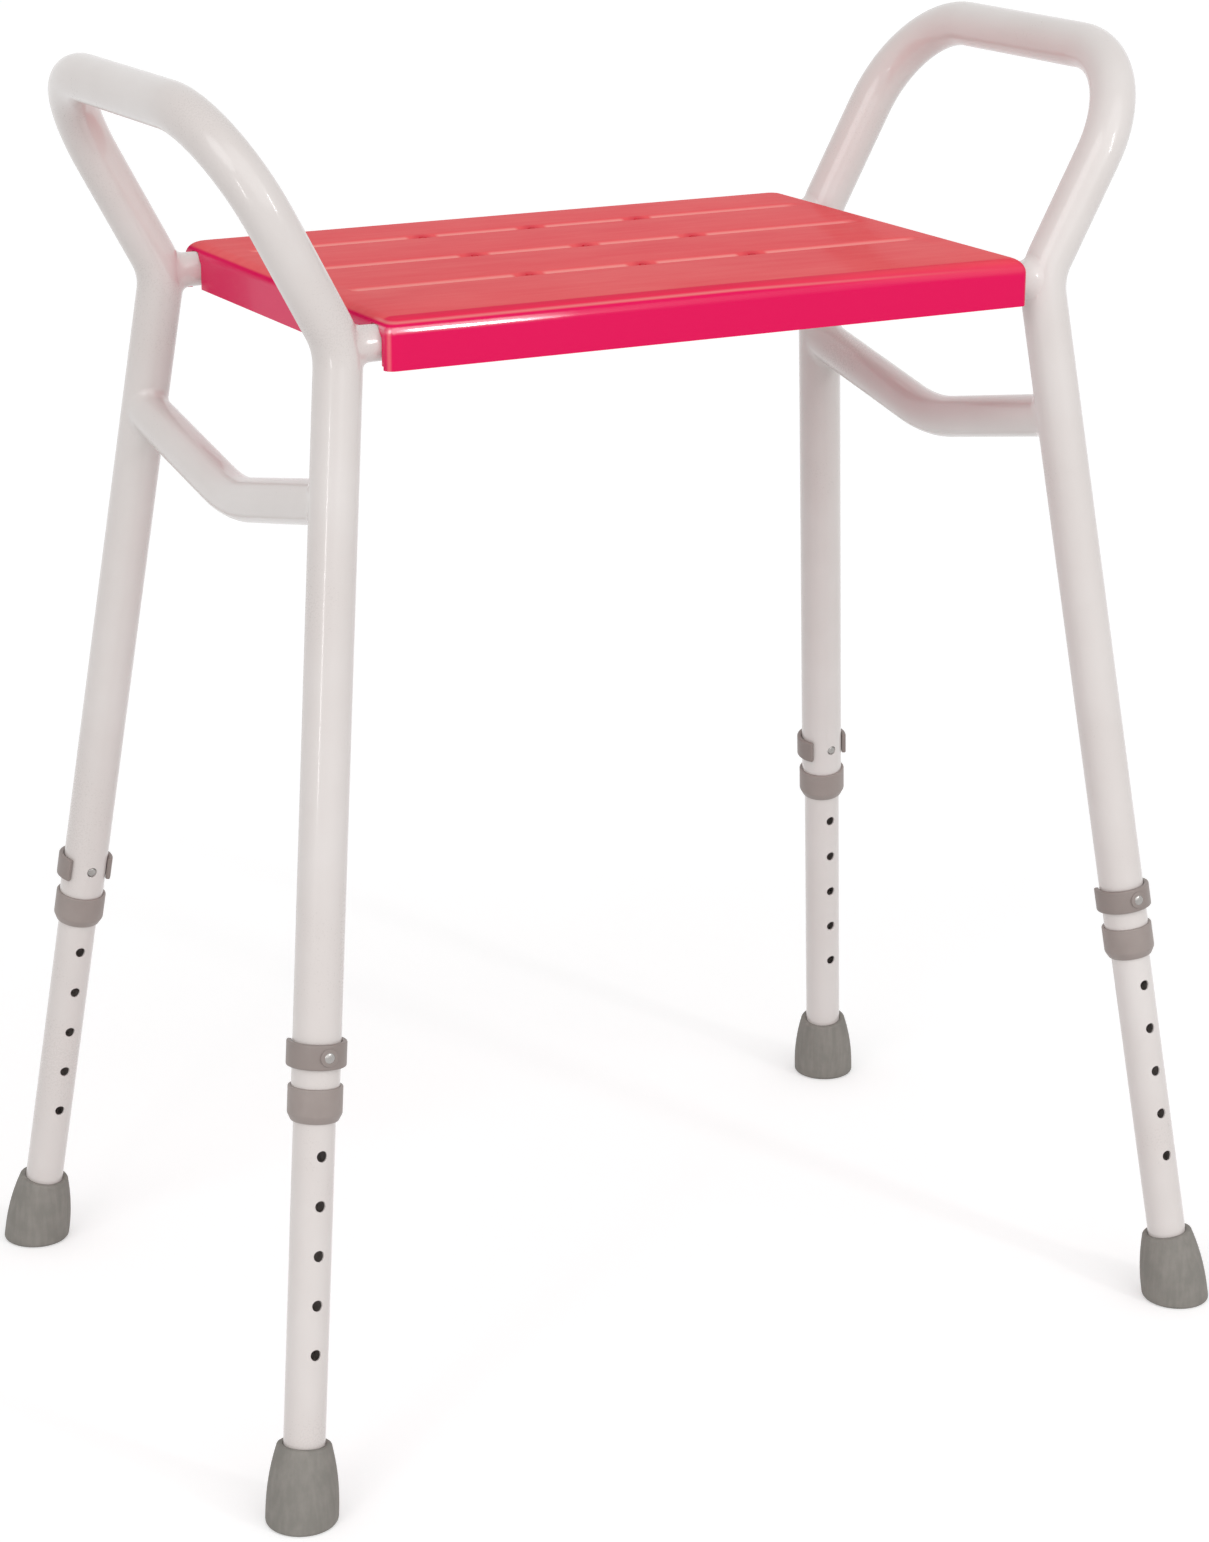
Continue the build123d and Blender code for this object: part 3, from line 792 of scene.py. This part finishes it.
# Cuts beside the grooves and round their ends, as shares of half a groove's width
grooveCuts = {"side": (0.8, 1.0, 1.2), "end": (0, 0.3, 0.6, 0.8, 1.0, 1.2)}
drainCut = {"reach": 1.05, "topSlack": 0.01 * mm}  # how far a drain takes in vertices, in radii, and how deep
grooveHalf = seat["grooveW"] / 2
grooveEnd = seatSize.x / 2 - seat["grooveInset"] - grooveHalf


def grooveDrop(x, y):
    drop = 0.0
    for row in seat["rows"]:
        past = max(0.0, abs(x) - grooveEnd)
        away = Vector((past, y - row)).length / (grooveHalf * seat["grooveBlend"])
        if away < 1:
            drop = seat["grooveDepth"] * (0.5 + 0.5 * cos(pi * away))
    return drop


def cutGrooves(bm):
    drain = seat["drainD"] / 2
    cell = drain / holeCells
    cells = range(-holeCells, holeCells + 1)
    across = [row + k * cell for row in seat["rows"] for k in cells]
    for row, k, share in product(seat["rows"], (-1, 1), grooveCuts["side"]):
        across.append(row + k * grooveHalf * share)
    along = [column + k * cell for column in seat["columns"] for k in cells]
    along += [k * (grooveEnd + grooveHalf * share) for k in (-1, 1) for share in grooveCuts["end"]]
    for y in across:
        cutAll(bm, (0, y, 0), (0, 1, 0))
    for x in along:
        cutAll(bm, (x, 0, 0), (1, 0, 0))
    inside = []
    for vert in [v for v in bm.verts if v.co.z > seatHigh.z - drainCut["topSlack"]]:
        for x, y in product(seat["columns"], seat["rows"]):
            offX = vert.co.x - x
            offY = vert.co.y - y
            reach = max(abs(round(offX / cell)), abs(round(offY / cell)))
            if reach < holeCells:
                inside.append(vert)
            elif reach == holeCells and max(abs(offX), abs(offY)) < drain * drainCut["reach"]:
                angle = atan2(offY, offX)
                vert.co.x = x + drain * cos(angle)
                vert.co.y = y + drain * sin(angle)
        vert.co.z = seatHigh.z - grooveDrop(vert.co.x, vert.co.y)
    bmesh.ops.delete(bm, geom=inside, context="VERTS")


# The end skirts stop short of the lips
def cutSkirts(bm):
    skirtLow = seatLow.z + seat["skirtUp"]
    endAt = seatSize.x / 2 - seat["skirtUp"]
    cornerAt = seatSize.y / 2 - seat["corner"]
    cutAll(bm, (0, 0, skirtLow), (0, 0, 1))
    hem = []
    for face in bm.faces:
        middle = face.calc_center_median()
        if middle.z < skirtLow and abs(middle.x) > endAt and abs(middle.y) < cornerAt:
            hem.append(face)
    bmesh.ops.delete(bm, geom=hem, context="FACES")


notch = {"turns": (0, 45, 90, 135, 180), "nearby": 3}  # turns of its sides, and radii within which it cuts


# The openings over the rails are half octagons with straight sides below
def cutNotches(bm):
    radius = rail["tubeD"] / 2 + seat["railGap"]
    endAt = seatSize.x / 2 - seat["edge"]
    for way, y in product((-1, 1), (-railSpot.y, railSpot.y)):
        for turn in notch["turns"]:
            outY = cos(radians(turn))
            outZ = sin(radians(turn))
            near = []
            for face in bm.faces:
                middle = face.calc_center_median()
                if middle.x * way > endAt and abs(middle.y - y) < notch["nearby"] * radius:
                    near.append(face)
            geom = unique(v for f in near for v in f.verts) + unique(e for f in near for e in f.edges) + near
            bmesh.ops.bisect_plane(bm, geom=geom, dist=merge["cut"], plane_no=(0, outY, outZ),
                                   plane_co=(0, y + radius * outY, railSpot.z + radius * outZ))
        gone = []
        for face in bm.faces:
            middle = face.calc_center_median()
            offY = abs(middle.y - y)
            offZ = middle.z - railSpot.z
            if middle.x * way > endAt and offY < radius and offZ < radius:
                if offY + max(offZ, 0.0) < radius * sqrt(2):
                    gone.append(face)
        bmesh.ops.delete(bm, geom=gone, context="FACES")


def seatPanel():
    bm = seatShell()
    cutGrooves(bm)
    cutSkirts(bm)
    cutNotches(bm)
    bmesh.ops.recalc_face_normals(bm, faces=bm.faces[:])
    finishPiece("seat_panel", bm, "seat_plastic", "frame", ["seat"],
                wall=seat["wall"], edge=seat["rimRound"], sharp=seat["sharp"])


seatPanel()

# Ribs and screw bosses under the seat
under = {"thick": 3 * mm, "height": 10 * mm, "sink": 1 * mm, "reach": 98 * mm, "pitch": 69 * mm,
         "columns": (-1.5, -0.5, 0.5, 1.5), "edge": 0.4 * mm, "edgeSteps": 2, "screwInset": 4 * mm,
         "bossR": 4.5 * mm, "bossUp": 7 * mm, "bossSink": 0.5 * mm, "bossRound": 0.5 * mm, "bossAround": 32}


def seatRibs():
    panelUnder = seatHigh.z - seat["wall"]
    middle = panelUnder - under["height"] / 2 + under["sink"] / 2
    tall = under["height"] + under["sink"]
    bm = bmesh.new()
    ribs = [(k * under["pitch"], 0.0, under["thick"], 2 * under["reach"]) for k in under["columns"]]
    for before, after in zip(seat["rows"], seat["rows"][1:]):
        ribs.append((0.0, (before + after) / 2, seatSize.x - 2 * seat["wall"], under["thick"]))
    for x, y, wide, deep in ribs:
        shape = Matrix.Translation((x, y, middle)) @ Matrix.Diagonal((wide, deep, tall, 1))
        bmesh.ops.create_cube(bm, size=1.0, matrix=shape)
    roundOff(bm, bm.edges[:], under["edge"], under["edgeSteps"])
    boss = rounded([(0, -under["bossUp"], 0), (under["bossR"], -under["bossUp"], under["bossRound"]),
                    (under["bossR"], under["bossSink"], 0), (0, under["bossSink"], 0)])
    screwLow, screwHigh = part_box("seat_screws")
    inset = under["screwInset"]
    for x in (screwLow.x + inset, screwHigh.x - inset):
        for y in (screwLow.y + inset, screwHigh.y - inset):
            turnOutline(bm, boss, Matrix.Translation((x, y, panelUnder)), around=under["bossAround"])
    finishPiece("seat_ribs", bm, "seat_plastic", "frame", [])


seatRibs()
print("seat moulded")

# CAD nodes that stay take the same finishes
slotOf = {part["node"]: part["material_slot"] for part in frame["record"]["subparts"]}
for name, node in frame["nodes"].items():
    if not node.hide_render:
        node.data.materials.clear()
        node.data.materials.append(paints[slotOf[name]])

# Pale floor that keeps the shadow, and a white surround
white = (1.0, 1.0, 1.0, 1.0)
floorLook = {"size": 60.0, "tone": (0.78, 0.78, 0.78), "lift": 0.38}
surround = {"light": 0.61}


def paleFloor():
    paint = newPaint("pale_floor")
    matt = paint.node("ShaderNodeBsdfDiffuse", {}, {"Color": (*floorLook["tone"], 1.0)})
    lift = paint.seenRays() * floorLook["lift"]
    glow = paint.node("ShaderNodeEmission", {}, {"Color": white, "Strength": lift})
    both = paint.node("ShaderNodeAddShader", {}, {0: matt, 1: glow})
    paint.node("ShaderNodeOutputMaterial", {}, {"Surface": both})
    bm = bmesh.new()
    bmesh.ops.create_grid(bm, x_segments=1, y_segments=1, size=floorLook["size"] / 2)
    mesh = bpy.data.meshes.new("floor")
    bm.to_mesh(mesh)
    bm.free()
    mesh.materials.append(paint.owner)
    floor = bpy.data.objects.new("floor", mesh)
    scene.collection.objects.link(floor)


def whiteSurround():
    scene.world = bpy.data.worlds.new("surround")
    paint = Paint(scene.world)
    strength = surround["light"] + paint.seenRays() * (1 - surround["light"])
    sky = paint.node("ShaderNodeBackground", {}, {"Color": white, "Strength": strength})
    paint.node("ShaderNodeOutputWorld", {}, {"Surface": sky})


paleFloor()
whiteSurround()


def hangLamp(name, lamp, way, place=(0.0, 0.0, 0.0)):
    holder = bpy.data.objects.new(name, lamp)
    scene.collection.objects.link(holder)
    holder.location = place
    holder.rotation_mode = "QUATERNION"
    holder.rotation_quaternion = way.to_track_quat("-Z", "Y")


# Two broad suns, from the front left and the front, light the floor evenly: (from, strength, spread)
sunLights = {"keyLeft": ((-0.9, -0.6, 0.6), 0.55, 35), "front": ((0.0, -1.0, 0.65), 0.68, 60)}
for name, (towards, strength, spread) in sunLights.items():
    lamp = bpy.data.lights.new(name, "SUN")
    lamp.energy = strength
    lamp.angle = radians(spread)
    hangLamp(name, lamp, -Vector(towards))

# Small soft boxes draw the bright lines on the tubes and on the seat's front edge:
# (place, aim, size, brightness)
softBoxes = {"edgeBox": ((0.78, -2.01, 1.22), (-0.1, -0.13, 0.61), (0.12, 0.62), 22.0),
             "legStrip": ((-1.10, -0.75, 0.54), (-0.25, -0.16, 0.50), (0.07, 0.30), 9.0)}
for name, (place, aim, size, brightness) in softBoxes.items():
    lamp = bpy.data.lights.new(name, "AREA")
    lamp.shape = "RECTANGLE"
    lamp.size, lamp.size_y = size
    lamp.energy = brightness * pi * size[0] * size[1]
    hangLamp(name, lamp, Vector(aim) - Vector(place), place)

# Camera at the photograph's angle
cameraView = {"place": (-977.5 * mm, -1793.5 * mm, 973.6 * mm), "turn": (72.077, -0.288, -28.586),
              "lens": 86.87, "sensor": 36.0}
camera = bpy.data.cameras.new("camera")
camera.lens = cameraView["lens"]
camera.sensor_width = cameraView["sensor"]
cameraObject = bpy.data.objects.new("camera", camera)
scene.collection.objects.link(cameraObject)
cameraObject.location = cameraView["place"]
cameraObject.rotation_euler = Euler([radians(a) for a in cameraView["turn"]])
scene.camera = cameraObject
scene.view_settings.view_transform = "Standard"
print("stage lit")
